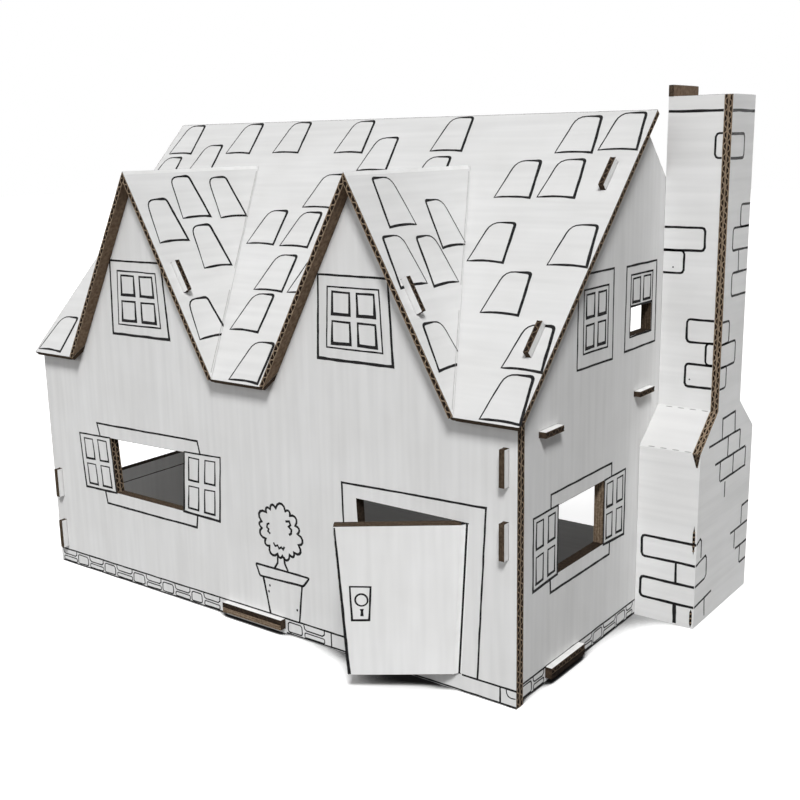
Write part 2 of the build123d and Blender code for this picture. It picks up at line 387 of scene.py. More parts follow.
class Edges(Piece):
    """Cut board edges: liners with a waved sheet between them, over dark cells."""

    def __init__(self, name, body="house", turn=None):
        super().__init__(name, [cell_mat, flute_mat, cut_mat, fibre_mat], body)
        self.turn = turn

    def strip(self, start, along, across, out, length, plies, look=FLUTES, stretch=1.0, seed=0, mitre=0.0,
              ply=PLY):
        """An edge of so many plies: along it, across it from start, and out of the board."""
        start, along, across, out = (Vector(v) for v in (start, along, across, out))
        along.normalize()
        across.normalize()
        out.normalize()

        def at(s, t, h):
            p = start + along * s + across * t + out * h
            return self.turn @ p if self.turn else p

        def ribbon(line, half, h, kind):
            line = [(s, t) for s, t in line if s >= mitre * t]
            sides = []
            for i, (s, t) in enumerate(line):
                (s0, t0), (s1, t1) = line[max(i - 1, 0)], line[min(i + 1, len(line) - 1)]
                size = math.hypot(s1 - s0, t1 - t0)
                ds, dt = -half * (t1 - t0) / size, half * (s1 - s0) / size
                sides.append((at(s - ds, t - dt, h), at(s + ds, t + dt, h)))
            for (a0, b0), (a1, b1) in zip(sides, sides[1:]):
                self.face([a0, a1, b1, b0], kind)

        thick = plies * ply
        hollow, paper = look
        base = ((0, 0), (length, 0), (length, thick), (mitre * thick, thick))
        self.face([at(s, t, SKIN) for s, t in base], hollow)
        half = LINER / 2
        count = max(2, round(length / (FLUTE * stretch) * STEPS))
        places = [length * i / count for i in range(count + 1)]
        for layer in range(plies):
            low = layer * ply
            for edge in (low + half, low + ply - half):
                line = [(s, edge + 0.1 * wander(s * 0.2, seed + edge)) for s in places]
                ribbon(line, half, LIFT, paper)
            mid = low + ply / 2
            if look in (FLUTES, DIM_FLUTES):
                wave = 2 * math.pi / (FLUTE * stretch)
                swing = ply / 2 - LINER - 0.1
                shift = 2.1 * layer + seed
                turns = [math.sin(wave * s + shift + 0.5 * wander(s * 0.05, seed)) for s in places]
                line = [(s, mid + swing * max(-1, min(1, 1.5 * t))) for s, t in zip(places, turns)]
                ribbon(line, FLUTE_HALF, LIFT - 0.04, paper)
            else:
                for k, share in enumerate((-0.28, 0.0, 0.3)):
                    line = [(s, mid + share * ply * 0.7 + 0.35 * wander(s * 0.11 + k * 9, seed + k))
                            for s in places]
                    ribbon(line, FIBRE_HALF, LIFT - 0.06, paper)


up, right, back = Vector((0, 0, 1)), Vector((1, 0, 0)), Vector((0, 1, 0))


def deep(x, d, z):
    """A place given across, in depth behind the front face, and up."""
    return Vector((x, FRONT + d, z))


def framed(edges, corners, place, inward, looks, plies):
    """Strips round an opening, with a look for each, from the bottom edge on past the bottom right corner."""
    middle = sum((Vector(c) for c in corners), Vector((0, 0))) / len(corners)
    for i, (a, b) in enumerate(zip(corners, corners[1:] + corners[:1])):
        a3, b3 = place(*a), place(*b)
        along = b3 - a3
        out = inward.cross(along)
        if out.dot(place(*middle) - a3) < 0:
            out = -out
        edges.strip(a3, along, inward, out, along.length, plies, looks[i], seed=i)


wall_edges = Edges("front_wall_edges")
for side in (-1, 1):
    wall_edges.strip((side * HALF, FRONT, 0), up, back, side * right, WALL_TOP, 2, seed=side)
window = [(-136.1, 69.1), (-63.4, 68.7), (-59.4, 112.7), (-139.2, 111.1)]
framed(wall_edges, window, lambda x, z: deep(x, 0, z), back, (FIBRES, FLUTES, FIBRES, FLUTES), 2)
foot, head = deep(DOOR_LEFT[0], 0, DOOR_SILL), deep(DOOR_LEFT[1], 0, DOOR_HEAD)
wall_edges.strip(foot, head - foot, back, right, (head - foot).length, 2, SHADED, seed=3)
wall_edges.strip(head, right, back, -up, DOOR_RIGHT[1] - DOOR_LEFT[1], 2, SHADED)
SILL_BARE = 11.0       # end of the sill that the open door swings over
wall_edges.strip(foot, right, back, up, DOOR_RIGHT[0] - DOOR_LEFT[0] - SILL_BARE, 2, FIBRES)
for centre in DORMERS:
    run = (DORMER_TOP - DORMER_TAB_Z) / math.tan(SLOPE)
    down = Vector((math.cos(SLOPE), 0, -math.sin(SLOPE)))
    out = Vector((math.sin(SLOPE), 0, math.cos(SLOPE)))
    tip = deep(centre + run, 0, DORMER_TAB_Z) + out * TAB_OUT - down * TAB_HALF
    wall_edges.strip(tip, down, back, out, 2 * TAB_HALF, 1, DIM_FLUTES, stretch=0.9, seed=1)
wall_edges.done()

gable_edges = Edges("gable_edges")
roof_along = Vector((0, math.cos(PITCH), math.sin(PITCH)))
gable_tabs = ((-1, (24.8, 66.5), (72.0, 102.0)), (1, (101.5, 144.4), (31.2, 117.5)))
for side, wall_tabs, roof_tabs in gable_tabs:
    x_in = side * GABLE_IN
    way = side * right
    gable_edges.strip(deep(x_in, BACK_D, 0), up, way, back, BACK_Z, 2, FIBRES, seed=side)
    fall = Vector((0, APEX_D - BACK_D, APEX_Z - BACK_Z))
    gable_edges.strip(deep(x_in, BACK_D, BACK_Z), fall, way, Vector((0, 1, 1)), fall.length, 2,
                      stretch=1.4, seed=side)
    for z in wall_tabs:
        gable_edges.strip(deep(x_in, -TAB_OUT, z - TAB_HALF), up, way, -back, 2 * TAB_HALF, 1, FIBRES, seed=z)
    for d in roof_tabs:
        tip = deep(x_in, d, EAVE_Z + (d + EAVE_OUT) * math.tan(PITCH)) + Vector(roof_out) * TAB_OUT
        tip -= roof_along * TAB_HALF
        gable_edges.strip(tip, roof_along, way, roof_out, 2 * TAB_HALF, 1, DIM_FLUTES, seed=d)
gable_openings = ((1, RIGHT_WINDOW, PALE_FIBRES), (1, SASH, FIBRES), (-1, LEFT_WINDOW, PALE_FIBRES))
for side, (near, far, low, high), far_look in gable_openings:
    corners = [(near, low), (far, low), (far, high), (near, high)]
    framed(gable_edges, corners, lambda d, z: deep(side * GABLE_OUT, d, z), -side * right,
           (SHADED, far_look, DIM_FLUTES, FIBRES), 2)
gable_edges.done()

roof_edges = Edges("roof_edges")
roof_in = -Vector(roof_out)
eave = deep(0, -EAVE_OUT, EAVE_Z)
for x, way in ((ROOF_LEFT, -right), (ROOF_RIGHT, right)):
    roof_edges.strip(eave + right * x, roof_along, roof_in, way, ROOF_UP, 1, seed=x)
half_eave = (DORMER_TOP - EAVE_Z) / math.tan(SLOPE)
stops = [ROOF_LEFT]
for centre in DORMERS:
    stops += [centre - half_eave, centre + half_eave]
stops += [ROOF_RIGHT]
for a, b in zip(stops[::2], stops[1::2]):
    roof_edges.strip(eave + right * a, right, roof_in, -roof_along, b - a, 1, FIBRES, seed=a)
ridge = eave + roof_along * ROOF_UP
roof_edges.strip(ridge + right * ROOF_LEFT, right, roof_in, roof_along, ROOF_RIGHT - ROOF_LEFT, 1, FIBRES)
for centre in DORMERS:
    for side in (-1, 1):
        down = Vector((side * math.cos(SLOPE), 0, -math.sin(SLOPE)))
        into = Vector((-side * math.sin(SLOPE), 0, -math.cos(SLOPE)))
        length = (DORMER_TOP - EAVE_Z - 0.5) / math.sin(SLOPE)
        peak = deep(centre, -EAVE_OUT, DORMER_TOP)
        roof_edges.strip(peak, down, into, -back, length, 1, seed=centre + side, mitre=math.tan(SLOPE))
roof_edges.done()

floor_edges = Edges("floor_edges")
near, far = FRONT_TAB
floor_edges.strip(deep(near, -TAB_OUT, FLOOR_Z), right, up, -back, far - near, 1, PALE_FIBRES, seed=1)
floor_edges.strip(deep(near, -TAB_OUT, FLOOR_Z + PLY), right, up, -back, far - near, 1, SHADED, seed=4)
room = 2 * (GABLE_IN - PLAY)
floor_edges.strip(deep(-room / 2, FLOOR_BACK, FLOOR_Z), right, up, back, room, 2, FIBRES, seed=2)
floor_edges.strip(deep(-room / 2, ATTIC_BACK, ATTIC_Z), right, up, back, room, 1, FIBRES, seed=3)
for side in (-1, 1):
    end = side * (GABLE_OUT + TAB_OUT)
    way = side * right
    near, far = SIDE_TAB
    # Painted shadow: the side tab's lower ply is near black.
    floor_edges.strip(deep(end, near, FLOOR_Z), back, up, way, far - near, 1, DEEP_SHADOW, seed=side)
    floor_edges.strip(deep(end, near, FLOOR_Z + PLY), back, up, way, far - near, 1, DIM_FLUTES, seed=side)
    for near, far in ATTIC_TABS:
        tip = deep(end, near, ATTIC_Z)
        floor_edges.strip(tip, back, up, way, far - near, 1, DIM_FLUTES, seed=near + side)
floor_edges.done()

tab_liners = Piece("tab_liners", [liner_mat])


def liner(x0, x1, d0, d1, z):
    """White paper on top of a floor's tab."""
    tab_liners.face([deep(x, d, z + SKIN) for x, d in ((x0, d0), (x1, d0), (x1, d1), (x0, d1))])


liner(*FRONT_TAB, -TAB_OUT, -0.1, FLOOR_Z + WALL)
for side in (-1, 1):
    inner_x, outer_x = side * (GABLE_OUT + 0.1), side * (GABLE_OUT + TAB_OUT)
    liner(inner_x, outer_x, *SIDE_TAB, FLOOR_Z + WALL)
    for near, far in ATTIC_TABS:
        liner(inner_x, outer_x, near, far, ATTIC_Z + PLY)
tab_liners.done()

door_edges = Edges("door_edges", "door", door_turn)
door_low, door_high = DOOR_SILL + DOOR_GAP, DOOR_HEAD - DOOR_GAP
free_foot = deep(edge_at(DOOR_LEFT, door_low) + LATCH_GAP, 0, door_low)
free_head = deep(edge_at(DOOR_LEFT, door_high) + LATCH_GAP, 0, door_high)
hinge_low = deep(edge_at(DOOR_RIGHT, door_low) - HINGE_GAP - CREASE, 0, door_low)
hinge_high = deep(edge_at(DOOR_RIGHT, door_high) - HINGE_GAP - CREASE, 0, door_high)
door_edges.strip(free_foot, free_head - free_foot, back, -right, (free_head - free_foot).length, 2, seed=4)
door_edges.strip(free_head, right, back, up, (hinge_high - free_head).length, 2, FIBRES, seed=5)
door_edges.strip(free_foot, right, back, -up, (hinge_low - free_foot).length, 2, FIBRES, seed=6)
door_edges.done()

chimney_edges = Edges("chimney_edges")
PRESSED = 2.7          # sheets pressed flat along the chimney's bare edge
strip_x = CH_RIGHT - 2 * PRESSED
front_stack, front_base, back_stack = CH_MID - CH_STACK, CH_MID - CH_BASE, CH_MID + CH_STACK
fall = deep(0, front_base, CH_LOW) - deep(0, front_stack, CH_HIGH)
shoulder_out = Vector((0, fall.z, -fall.y))
stack_top, stack_foot = deep(strip_x, front_stack, CH_TOP), deep(strip_x, front_stack, CH_HIGH)
chimney_edges.strip(stack_top, -up, right, -back, CH_TOP - CH_HIGH, 2, seed=1, ply=PRESSED)
chimney_edges.strip(stack_foot, fall, right, shoulder_out, fall.length, 2, seed=2, ply=PRESSED)
point = ((0, 0), (2 * PRESSED, 0), (3.9, -9), (2.9, -9))
chimney_edges.face([deep(strip_x + u, front_base - SKIN, CH_LOW + v) for u, v in point], 3)
for u, v, wide in ((0.9, -0.7, 1.2), (3.4, -1.4, 1.2), (1.6, -3.4, 1.1), (3.6, -4.6, 0.9), (2.7, -6.6, 0.9)):
    spot = ((u, v), (u + wide, v), (u + wide, v - 1.6), (u, v - 1.6))
    chimney_edges.face([deep(strip_x + a, front_base - LIFT, CH_LOW + b) for a, b in spot], 0)
rim_x = CH_LEFT + WALL
for d in (front_stack, back_stack - WALL):
    chimney_edges.strip(deep(rim_x, d, CH_TOP), right, back, up, CH_RIGHT - rim_x, 2, FIBRES)
side_rim = deep(CH_RIGHT - WALL, front_stack + WALL, CH_TOP)
chimney_edges.strip(side_rim, back, right, up, 2 * (CH_STACK - WALL), 2, FIBRES)
chimney_edges.strip(deep(CH_LEFT, front_stack, CH_TOP + CH_LIP), back, right, up, 2 * CH_STACK, 1, FIBRES)
for d, way in ((front_stack, -back), (back_stack, back)):
    chimney_edges.strip(deep(CH_LEFT, d, CH_TOP), up, right, way, CH_LIP, 1, FIBRES)
chimney_edges.done()


# Pen lines


PEN = 1.35             # strokes are this much heavier than their stated width
PEN_STEP = 2.5         # and waver in steps of about this length


class Ink(Piece):
    """Pen strokes on one face; a place function lifts them just off it."""

    def __init__(self, name, place, body="house", mat=None, lift=0.06, pen=PEN):
        super().__init__(name, [mat or ink_mat], body)
        self.place, self.lift, self.pen, self.count = place, lift, pen, 0

    def stroke(self, points, width=1.0, closed=False, waver=0.22):
        """A ribbon through (across, up) or (across, up, thickness share) points."""
        self.count += 1
        seed = self.count + len(self.name)
        spots = [(p[0], p[1], p[2] if len(p) > 2 else 1.0) for p in points]
        if closed:
            spots.append(spots[0])
        line, run = [], 0.0
        for (u0, v0, w0), (u1, v1, w1) in zip(spots, spots[1:]):
            length = math.hypot(u1 - u0, v1 - v0)
            parts = max(1, round(length / PEN_STEP))
            for i in range(parts):
                t = i / parts
                line.append((u0 + t * (u1 - u0), v0 + t * (v1 - v0), w0 + t * (w1 - w0), run + t * length))
            run += length
        line.append((*spots[-1], run))
        moved = [(u + waver * wander(s * 0.09, seed), v + waver * wander(s * 0.09 + 50, seed),
                  w * (1 + 0.22 * wander(s * 0.16 + 90, seed))) for u, v, w, s in line]
        if closed:
            moved[-1] = moved[0]
        sides = []
        last = len(moved) - 1
        for i, (u, v, w) in enumerate(moved):
            before = moved[i - 1] if i else (moved[last - 1] if closed else moved[0])
            after = moved[i + 1] if i < last else (moved[1] if closed else moved[last])
            tangents = []
            for a, b in ((before, (u, v)), ((u, v), after)):
                du, dv = b[0] - a[0], b[1] - a[1]
                size = math.hypot(du, dv)
                if size > 1e-6:
                    tangents.append((du / size, dv / size))
            tu = sum(t[0] for t in tangents)
            tv = sum(t[1] for t in tangents)
            size = math.hypot(tu, tv) or 1.0
            grow = min(1.6, len(tangents) / size) if size > 0.3 else 1.0
            nu, nv = -tv / size, tu / size
            half = self.pen * width * w * grow / 2
            sides.append((self.place(u + nu * half, v + nv * half, self.lift),
                          self.place(u - nu * half, v - nv * half, self.lift)))
        for (a0, b0), (a1, b1) in zip(sides, sides[1:]):
            self.face([a0, b0, b1, a1])

    def blot(self, u, v, wide, tall):
        """A dot of ink."""
        ring = [(u + wide / 2 * math.cos(a * math.pi / 5), v + tall / 2 * math.sin(a * math.pi / 5))
                for a in range(10)]
        self.face([self.place(x, y, self.lift) for x, y in ring])


def rounded(corners, radius):
    """Corner points with their corners cut round; a radius for each corner or one for all."""
    out = []
    count = len(corners)
    for i, corner in enumerate(corners):
        r = radius[i] if isinstance(radius, (list, tuple)) else radius
        c = Vector(corner[:2])
        w = corner[2] if len(corner) > 2 else 1.0
        a, b = Vector(corners[i - 1][:2]), Vector(corners[(i + 1) % count][:2])
        if r <= 0:
            out.append((c.x, c.y, w))
            continue
        p, q = c + (a - c).normalized() * r, c + (b - c).normalized() * r
        for t in (0, 0.25, 0.5, 0.75, 1):
            m = p * (1 - t) ** 2 + c * 2 * t * (1 - t) + q * t * t
            out.append((m.x, m.y, w))
    return out


def in_quad(quad, a, b):
    """A place inside four corners: a across, b up."""
    bl, br, tr, tl = (Vector(c) for c in quad)
    p = bl.lerp(br, a).lerp(tl.lerp(tr, a), b)
    return (p.x, p.y)


PANES_UP = ((0.08, 0.44), (0.56, 0.92))        # shares of a sash's height that its panes take up


def panes(ink, quad, across, rises, width):
    """Window panes inside four corners, given as shares across and shares up."""
    for a0, a1 in across:
        for b0, b1 in rises:
            ring = [in_quad(quad, *ab) for ab in ((a0, b0), (a1, b0), (a1, b1), (a0, b1))]
            weights = (1.35, 1.35, 0.85, 0.85)
            ink.stroke([(*p, w) for p, w in zip(ring, weights)], width, closed=True, waver=0.3)


def stones(ink, start, end, seed):
    """Foundation stones along the foot of a wall: one tall, then a low pair, one above the other."""
    x, k = start, seed
    while x < end - 8:
        if k % 2 == 0:
            long = min(12.5 + 2 * wander(k * 1.7, 5), end - x - 1)
            ring = [(x, 1.8), (x + long, 2.1), (x + long - 0.4, 8.9), (x + 0.5, 9.0)]
            ink.stroke(rounded(ring, 1.9), 0.68, closed=True)
        else:
            long = min(17 + 3 * wander(k * 1.7, 5), end - x - 1)
            ink.stroke([(x, 10.6), (x + 0.6, 7.6), (x + 2.2, 6.6), (x + long - 1.8, 6.5), (x + long, 8.0),
                        (x + long, 10.6)], 0.68)
            low = [(x + 0.4, 1.7), (x + long, 1.7), (x + long, 4.8), (x + 0.8, 4.9)]
            ink.stroke(rounded(low, 1.1), 0.6, closed=True)
        x += long + 1.6
        k += 1


SHINGLE_W, SHINGLE_H = 25.7, 31.0


def shingle(ink, u, v, rise, heavy_right=True, long=SHINGLE_H):
    """A tongue-shaped roof shingle; rise is +1 where up the face is up the slope."""
    top = v + rise * long
    weights = (0.75, 1.0, 1.9, 1.75) if heavy_right else (1.6, 1.7, 0.9, 0.75)
    ring = [(u, v, weights[0]), (u + 3.9, top, weights[1]), (u + 21.5, top, weights[2]),
            (u + SHINGLE_W, v, weights[3])]
    soft = (0, 7.0, 2.6, 0) if heavy_right else (0, 2.2, 7.0, 0)
    outline = rounded(ring, soft)
    bow = [(u + SHINGLE_W * t, v + rise * 1.6 * 4 * t * (1 - t) * 0.5, 1.55) for t in (0.8, 0.6, 0.4, 0.2)]
    ink.stroke(outline + bow, 0.8, closed=True)


def on_front(u, v, h):
    return (u, FRONT - h, v)


def on_right(u, v, h):
    return (GABLE_OUT + h, FRONT + u, v)


def on_left(u, v, h):
    return (-GABLE_OUT - h, FRONT + u, v)


def on_roof(u, v, h):
    return eave + right * u + roof_along * v + Vector(roof_out) * h


def on_dormer(centre, side):
    down = Vector((side * math.cos(SLOPE), 0, -math.sin(SLOPE)))
    out = Vector((side * math.sin(SLOPE), 0, math.cos(SLOPE)))
    return lambda u, v, h: deep(centre, u - EAVE_OUT, DORMER_TOP) + down * v + out * h


def on_door(u, v, h):
    return door_turn @ Vector((u, FRONT - h, v))


# Print on the front wall
front_ink = Ink("front_wall_print", on_front)
PLINTH, FOOT_LINE = 11.0, 0.8
for a, b in ((-209.5, 99.0), (172.5, 210.2)):
    front_ink.stroke([(a, PLINTH), (b, PLINTH)], 0.9)
stones(front_ink, -208, -27, 1)
stones(front_ink, 32.5, 69, 4)
for x in (70.5, 199):
    front_ink.stroke([(x, FOOT_LINE), (x, PLINTH)], 0.8)
for a, b in ((-209, -25.5), (31, 210)):
    front_ink.stroke([(a, FOOT_LINE), (b, FOOT_LINE)], 0.8)
front_ink.stroke([(203.1, 10.8), (203.5, 8.2), (204.6, 6.5), (206.4, 5.9), (209.6, 6.2)], 0.55, waver=0.1)
top_frame = [(-150.6, 111.2), (-153.2, 120.6), (-45.4, 122.6), (-43.2, 113.6)]
front_ink.stroke(top_frame, 1.05)
front_ink.stroke([(-149.2, 68.6), (-147.6, 59.2), (-50.8, 58.9), (-49.4, 68.2)], 1.15)
left_shutter = [(-171.5, 68.3), (-136.3, 69.0), (-139.4, 111.2), (-174.6, 110.2)]
right_shutter = [(-63.2, 68.6), (-27.2, 68.0), (-23.6, 114.2), (-59.2, 112.8)]
for quad in (left_shutter, right_shutter):
    front_ink.stroke([(*quad[0], 1.3), (*quad[1], 1.3), (*quad[2], 0.9), (*quad[3], 0.9)], 1.0, closed=True)
    panes(front_ink, quad, ((0.13, 0.41), (0.58, 0.86)), ((0.08, 0.45), (0.55, 0.92)), 0.85)
dormer_windows = (([(-126, 190.8), (-66.8, 191.2), (-71, 243.2), (-123.8, 243)],
                   [(-119, 198), (-75, 198.4), (-77, 236), (-116.6, 236)]),
                  ([(67.6, 192.5), (125.4, 192.8), (122.8, 244.2), (69.9, 244)],
                   [(75, 199.8), (118, 200), (116, 237.2), (77, 237)]))
for outer, sash in dormer_windows:
    front_ink.stroke([(*p, w) for p, w in zip(outer, (1.4, 1.4, 1, 1))], 1.0, closed=True)
    front_ink.stroke(sash, 0.75, closed=True)
    panes(front_ink, sash, ((0.1, 0.43), (0.58, 0.9)), PANES_UP, 1.15)
front_ink.stroke([(90.2, 11.3), (84.8, 60), (83.4, 115.4), (189.5, 118.3), (183.3, 11.3)], 1.0)

# Pot plant
rim = [(8.8, 36.6), (47.8, 37.8), (53.4, 44.6), (5.4, 44.8)]
front_ink.stroke(rounded(rim, 1.5), 1.15, closed=True)
front_ink.stroke([(11.6, 36.8), (17.0, 11.2)], 1.3)
front_ink.stroke([(46.6, 37.8), (43.2, 11.2)], 1.1)
leaves, start = [], 0.1
lobes = (0.34, 0.46, 0.27, 0.52, 0.36, 0.3, 0.55, 0.28, 0.44, 0.33, 0.5, 0.26, 0.42, 0.31, 0.48, 0.46)
for span in lobes:
    for t in (0.0, 0.2, 0.4, 0.6, 0.8):
        turn = start + span * t
        reach = 0.93 + 0.42 * span * math.sin(math.pi * t) ** 0.8 + 0.08 * wander(turn * 1.3, 12)
        leaves.append((29.2 + 17.2 * reach * math.cos(turn) - 1.2 * math.sin(turn),
                       71.8 + 17.4 * reach * math.sin(turn)))
    start += span
front_ink.stroke(leaves, 1.25, closed=True, waver=0.3)
curls_and_stem = (
    (1.05, (19.8, 76.0), (17.8, 75.2), (17.2, 72.8), (18.8, 71.8), (18.0, 70.2), (20.0, 68.8)),
    (1.15, (34.2, 80.0), (37.6, 80.6), (38.6, 78.2), (37.0, 76.8), (39.4, 75.2), (39.0, 72.6), (37.0, 71.2)),
    (1.05, (22.6, 63.2), (24.0, 61.0), (26.2, 62.0), (27.4, 60.0), (29.6, 61.2), (31.0, 59.8), (32.4, 62.0)),
    (1.1, (26.0, 55.2), (25.6, 49.5), (22.8, 45.2)),
    (1.1, (31.6, 54.8), (32.0, 50.0), (34.6, 45.4)))
for width, *points in curls_and_stem:
    front_ink.stroke(points, width)
for u, v in ((17.5, 31.5), (16.4, 27.0), (41.5, 19.5)):
    front_ink.blot(u, v, 1.5, 1.9)
front_ink.done()

# Print on the gables


def shut_window(ink, outer, sash):
    """A printed attic window with four panes."""
    ink.stroke(outer, 1.0, closed=True)
    ink.stroke(sash, 0.9, closed=True)
    panes(ink, sash, ((0.1, 0.42), (0.58, 0.9)), PANES_UP, 1.1)


for place, name, (near, far, low, high) in ((on_right, "right_gable_print", RIGHT_WINDOW),
                                            (on_left, "left_gable_print", LEFT_WINDOW)):
    ink = Ink(name, place)
    ink.stroke([(7.5, 10.6), (278, 10.6)], 0.95)
    ink.stroke([(7.5, FOOT_LINE), (278, FOOT_LINE)], 1.0)
    stones(ink, 8.5, 36.5, 2)
    stones(ink, 81, 158 if place is on_right else 276, 3)
    lintel = [(near - 9, high - 0.5), (near - 9, high + 8.8), (far + 9.2, high + 8.8),
              (far + 9.2, high - 0.5)]
    ledge = [(near - 9, low - 0.8), (near - 8.6, low - 9.6), (far + 8.6, low - 9.6), (far + 8.6, low - 0.8)]
    ink.stroke(lintel, 1.05)
    ink.stroke(ledge, 1.25)
    shut, out = near - 0.4, near - 29.2
    near_shutter = [(out, low - 2.2), (shut, low - 0.4), (shut, high), (out, high - 0.4)]
    shut, out = far - 0.2, far + 29.4
    far_shutter = [(shut, low - 0.4), (out, low - 2), (out, high), (shut, high - 0.2)]
    for quad in (near_shutter, far_shutter):
        ink.stroke([(*p, w) for p, w in zip(quad, (1.4, 1.4, 1, 1))], 1.0, closed=True)
        panes(ink, quad, ((0.12, 0.4), (0.6, 0.88)), ((0.08, 0.45), (0.56, 0.92)), 0.95)
    if place is on_right:
        shut_window(ink, [(70.9, 187.0), (117.2, 186.6), (116.6, 243), (71.4, 243)],
                    [(78.4, 195.4), (110.1, 195.4), (110.1, 233.7), (78.4, 233.7)])
        ink.stroke([(134, 188), (179.5, 188.4), (178.6, 242), (134.4, 242)], 1.0, closed=True)
        ink.stroke([(141.0, 196.4), (173.0, 196.4), (173.0, 236), (141.0, 236)], 0.9, closed=True)
        upper_sash = [(142.5, 216.5), (171.8, 216.5), (171.8, 235), (142.5, 235)]
        panes(ink, upper_sash, ((0.06, 0.42), (0.58, 0.94)), ((0.1, 0.92),), 1.0)
        ink.stroke([(141.2, 216.0), (172.8, 216.0)], 1.1)
    else:
        shut_window(ink, [(129.4, 200.0), (176.2, 199.6), (175.6, 256), (129.8, 256)],
                    [(137.0, 208.4), (168.7, 208.4), (168.7, 246.7), (137.0, 246.7)])
    ink.done()

inner = Ink("left_gable_inner_line", lambda u, v, h: (-GABLE_IN + h, FRONT + u, v))
inner.stroke([(8, 51), (278, 51)], 0.55)
inner.done()

# Shingles
roof_ink = Ink("main_roof_print", on_roof)
roof_shingles = (
    (-203.6, 200.9), (-137.8, 200.7), (-87.6, 200.9), (-25.8, 200.2), (59.6, 200.8), (157.8, 198.2),
    (187.2, 200.2), (-207.0, 165.8), (-168.6, 178.6), (4.4, 183.2), (57.8, 164.6), (129.2, 160.6),
    (160.0, 161.4), (132.2, 109.2), (188.2, 109.5), (158.6, 72.0), (188.8, 35.8), (189.6, 1.6),
    (-26.2, 148.3), (-59.3, 113.4), (-26.8, 112.8), (-27.2, 74.2), (3.5, 74.2), (-28.0, 40.1),
    (-4.3, 2.0), (-207.6, 3.0))
for u, v in roof_shingles:
    shingle(roof_ink, u, v, 1)
roof_ink.done()
dormer_shingles = (((35.0, 37.8), (70.0, 39.9), (5.8, 54.0), (34.9, 76.0), (4.5, 125.2)),
                   ((19.4, 36.8), (4.8, 74.0), (60.8, 54.0), (35.6, 76.8), (5.6, 126.0)))
dormer_sides = [(f"{i}_{word}", i, side) for i in (0, 1) for side, word in ((-1, "left"), (1, "right"))]
for label, i, side in dormer_sides:
    ink = Ink(f"dormer_print_{label}", on_dormer(DORMERS[i], side))
    for u, v in dormer_shingles[i]:
        shingle(ink, u, v, -1, heavy_right=i == 0, long=32.0 if v < 120 else 28.5)
    ink.done()

# Painted highlight: a paler band on each side of the dormer ridges, standing in for light on the rounded
# fold.
ridge_highlights = Piece("dormer_folds", [ridge_highlight_mat])
HIGHLIGHT_WIDE, HIGHLIGHT_LIFT = 2.6, 0.04
highlight_parts = (0.3, 44, 88, DORMER_REACH - 3)
for _, i, side in dormer_sides:
    place = on_dormer(DORMERS[i], side)
    for near, far in zip(highlight_parts, highlight_parts[1:]):
        strip = ((near, 0), (far, 0), (far, HIGHLIGHT_WIDE), (near, HIGHLIGHT_WIDE))
        ridge_highlights.face([place(u, v, HIGHLIGHT_LIFT) for u, v in strip])
ridge_highlights.done()

# Lock plate and outline on the door
door_ink = Ink("door_print", on_door, "door")
free_line = [(free_foot.x + 0.7, free_foot.z + 0.4, 1.5), (free_head.x + 0.6, free_head.z - 0.5, 0.7)]
door_ink.stroke(free_line, 1.0)
plate = [(104.1, 47.3), (114.2, 47.5), (115.9, 68.5), (103.5, 68.9)]
door_ink.stroke([(*p, w) for p, w in zip(plate, (1.2, 1.2, 1, 1))], 0.8, closed=True)
turns = [t * math.pi / 12 for t in range(24)]
knob = [(110.1 + 3.7 * math.cos(t), 60.3 + 3.7 * math.sin(t)) for t in turns]
door_ink.stroke(knob, 0.8, closed=True, waver=0.15)
door_ink.stroke([(110.1, 54.6, 2.3), (110.2, 53.0, 1.4), (110.1, 50.0, 1.9)], 0.75)
door_ink.done()

# Bricks on the chimney


def on_stack(u, v, h):
    return (u, FRONT + front_stack - h, v)


def on_base(u, v, h):
    return (u, FRONT + front_base - h, v)


def on_side(u, v, h):
    return (CH_RIGHT + h, FRONT + u, v)


def on_back(u, v, h):
    return (u, FRONT + back_stack + h, v)


stack_ink = Ink("chimney_front_print", on_stack)
side_ink = Ink("chimney_side_print", on_side, pen=1.25 * PEN)
base_ink = Ink("chimney_base_print", on_base)
back_ink = Ink("chimney_back_print", on_back)
corner = strip_x - 0.2
stack_ink.stroke([(CH_LEFT + 0.3, 336.2), (corner, 336.0)], 1.2)
side_ink.stroke([(front_stack + 0.3, 335.8), (back_stack - 0.4, 335.8)], 1.1)
back_ink.stroke([(CH_LEFT + 0.3, 336.0), (CH_RIGHT - 0.3, 336.0)], 1.1)


def hook(ink, near, far, low, high, width=1.0):
    """A brick that runs off one side of its face: rounded at the near end, open at the far one."""
    bend = 2.2
    r = bend if far > near else -bend
    ink.stroke([(far, low), (near + r, low), (near + 0.4 * r, low + 0.5), (near, low + bend),
                (near, high - bend), (near + 0.4 * r, high - 0.5), (near + r, high), (far, high)], width)


near_side, far_side = front_stack + 0.2, back_stack - 0.3
hook(stack_ink, 240.4, corner, 307.0, 322.2)
hook(side_ink, 210.6, near_side, 306.6, 321.6)
hook(stack_ink, 236.2, CH_LEFT + 0.2, 248.2, 263.0, 1.15)
hook(stack_ink, 222.6, CH_LEFT + 0.2, 233.2, 247.9, 1.15)
hook(stack_ink, 226.4, corner, 188.2, 203.3, 1.1)
hook(side_ink, 200.0, near_side, 188.1, 202.6, 0.9)
hook(stack_ink, 240.0, corner, 173.8, 188.2, 1.1)
hook(side_ink, 212.6, near_side, 172.6, 187.9, 0.9)
hook(stack_ink, 226.3, corner, 158.2, 173.6, 1.2)
hook(side_ink, 198.4, near_side, 158.2, 172.8, 0.9)
hook(side_ink, 210.6, far_side, 262.6, 277.0, 0.9)
hook(side_ink, 198.6, far_side, 248.0, 262.6, 0.9)
